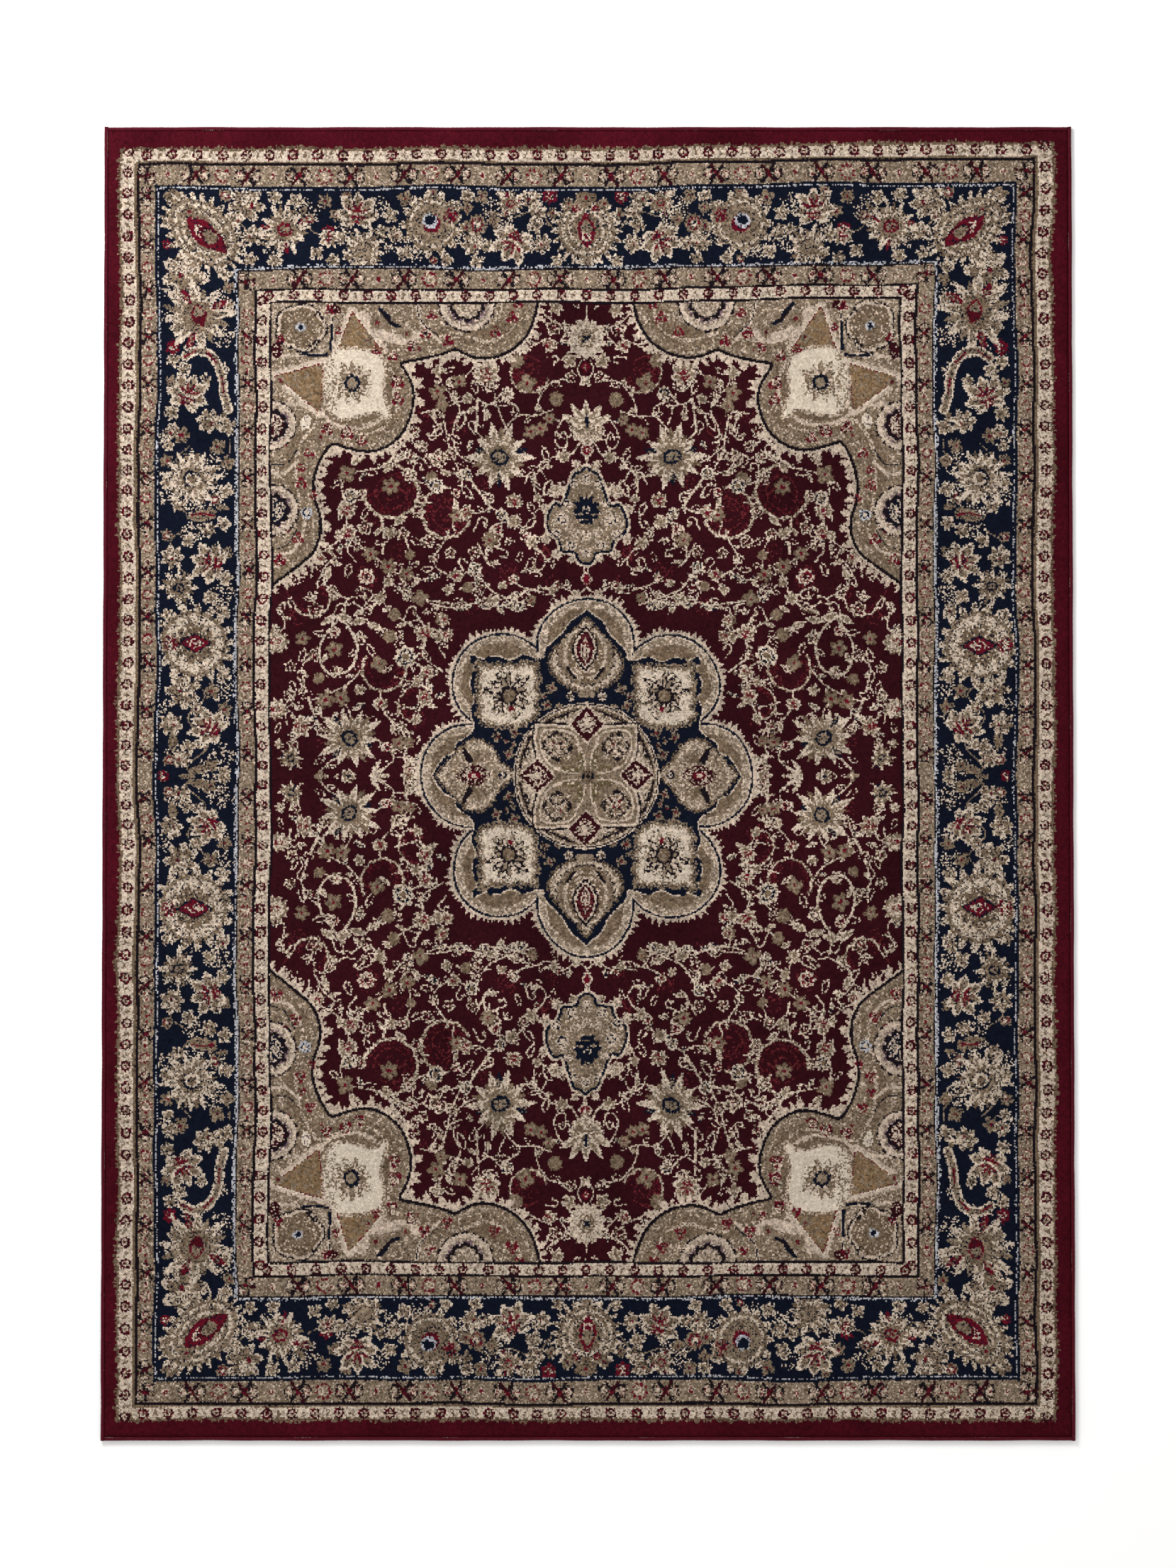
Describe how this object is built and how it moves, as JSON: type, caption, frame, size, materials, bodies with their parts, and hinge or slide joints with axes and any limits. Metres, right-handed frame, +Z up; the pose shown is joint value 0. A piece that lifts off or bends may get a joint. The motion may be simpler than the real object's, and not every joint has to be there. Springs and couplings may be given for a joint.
{
  "type": "area rug",
  "caption": "Rectangular cut-pile area rug with centre medallion, pendants, corner pieces and patterned borders, overlocked on all four sides",
  "frame": {"origin": "under the middle of the rug, on the face that lies on the floor", "axes": "+X across the width, +Y along the length, +Z up out of the pile"},
  "size_m": [1.7, 2.3, 0.012],
  "materials": {
    "burgundy_pile": "satin cut pile, dark burgundy with lighter nap streaks",
    "navy_pile": "satin cut pile, near-black navy",
    "beige_pile": "heathered frieze pile, beige and tan yarns mixed",
    "cream_pile": "matt cut pile, warm cream",
    "serging_yarn": "tightly wrapped overlock yarn, burgundy",
    "ground_yarn": "plain woven jute and cotton",
    "back_size": "woven back stiffened with matt size"
  },
  "bodies": {
    "root": {"back_size_coat": "back_size", "corner_piece_bottom_left": "beige_pile", "corner_piece_bottom_right": "beige_pile", "corner_piece_top_left": "beige_pile", "corner_piece_top_right": "beige_pile", "field_bottom_left": "burgundy_pile", "field_bottom_right": "burgundy_pile", "field_top_left": "burgundy_pile", "field_top_right": "burgundy_pile", "inner_guard_bottom": "cream_pile", "inner_guard_left": "cream_pile", "inner_guard_right": "cream_pile", "inner_guard_top": "cream_pile", "inner_minor_border_bottom": "beige_pile", "inner_minor_border_left": "beige_pile", "inner_minor_border_right": "beige_pile", "inner_minor_border_top": "beige_pile", "main_border_bottom": "navy_pile", "main_border_left": "navy_pile", "main_border_right": "navy_pile", "main_border_top": "navy_pile", "medallion_band_bottom_left": "beige_pile", "medallion_band_bottom_right": "beige_pile", "medallion_band_top_left": "beige_pile", "medallion_band_top_right": "beige_pile", "medallion_ground_left": "navy_pile", "medallion_ground_right": "navy_pile", "medallion_palmette_bottom": "beige_pile", "medallion_palmette_left": "beige_pile", "medallion_palmette_right": "beige_pile", "medallion_palmette_top": "beige_pile", "medallion_roundel": "cream_pile", "medallion_square_bottom_left": "cream_pile", "medallion_square_bottom_right": "cream_pile", "medallion_square_top_left": "cream_pile", "medallion_square_top_right": "cream_pile", "outer_guard_bottom": "cream_pile", "outer_guard_left": "cream_pile", "outer_guard_right": "cream_pile", "outer_guard_top": "cream_pile", "outer_minor_border_bottom": "beige_pile", "outer_minor_border_left": "beige_pile", "outer_minor_border_right": "beige_pile", "outer_minor_border_top": "beige_pile", "pendant_bottom": "beige_pile", "pendant_top": "beige_pile", "plain_band_bottom": "burgundy_pile", "plain_band_left": "burgundy_pile", "plain_band_right": "burgundy_pile", "plain_band_top": "burgundy_pile", "selvedge_left": "ground_yarn", "selvedge_right": "ground_yarn", "serging_bottom": "serging_yarn", "serging_left": "serging_yarn", "serging_right": "serging_yarn", "serging_top": "serging_yarn", "stuffer_warp_layer": "ground_yarn", "turned_end_bottom": "ground_yarn", "turned_end_top": "ground_yarn", "weft_ground_layer": "ground_yarn"}
  },
  "joints": []
}
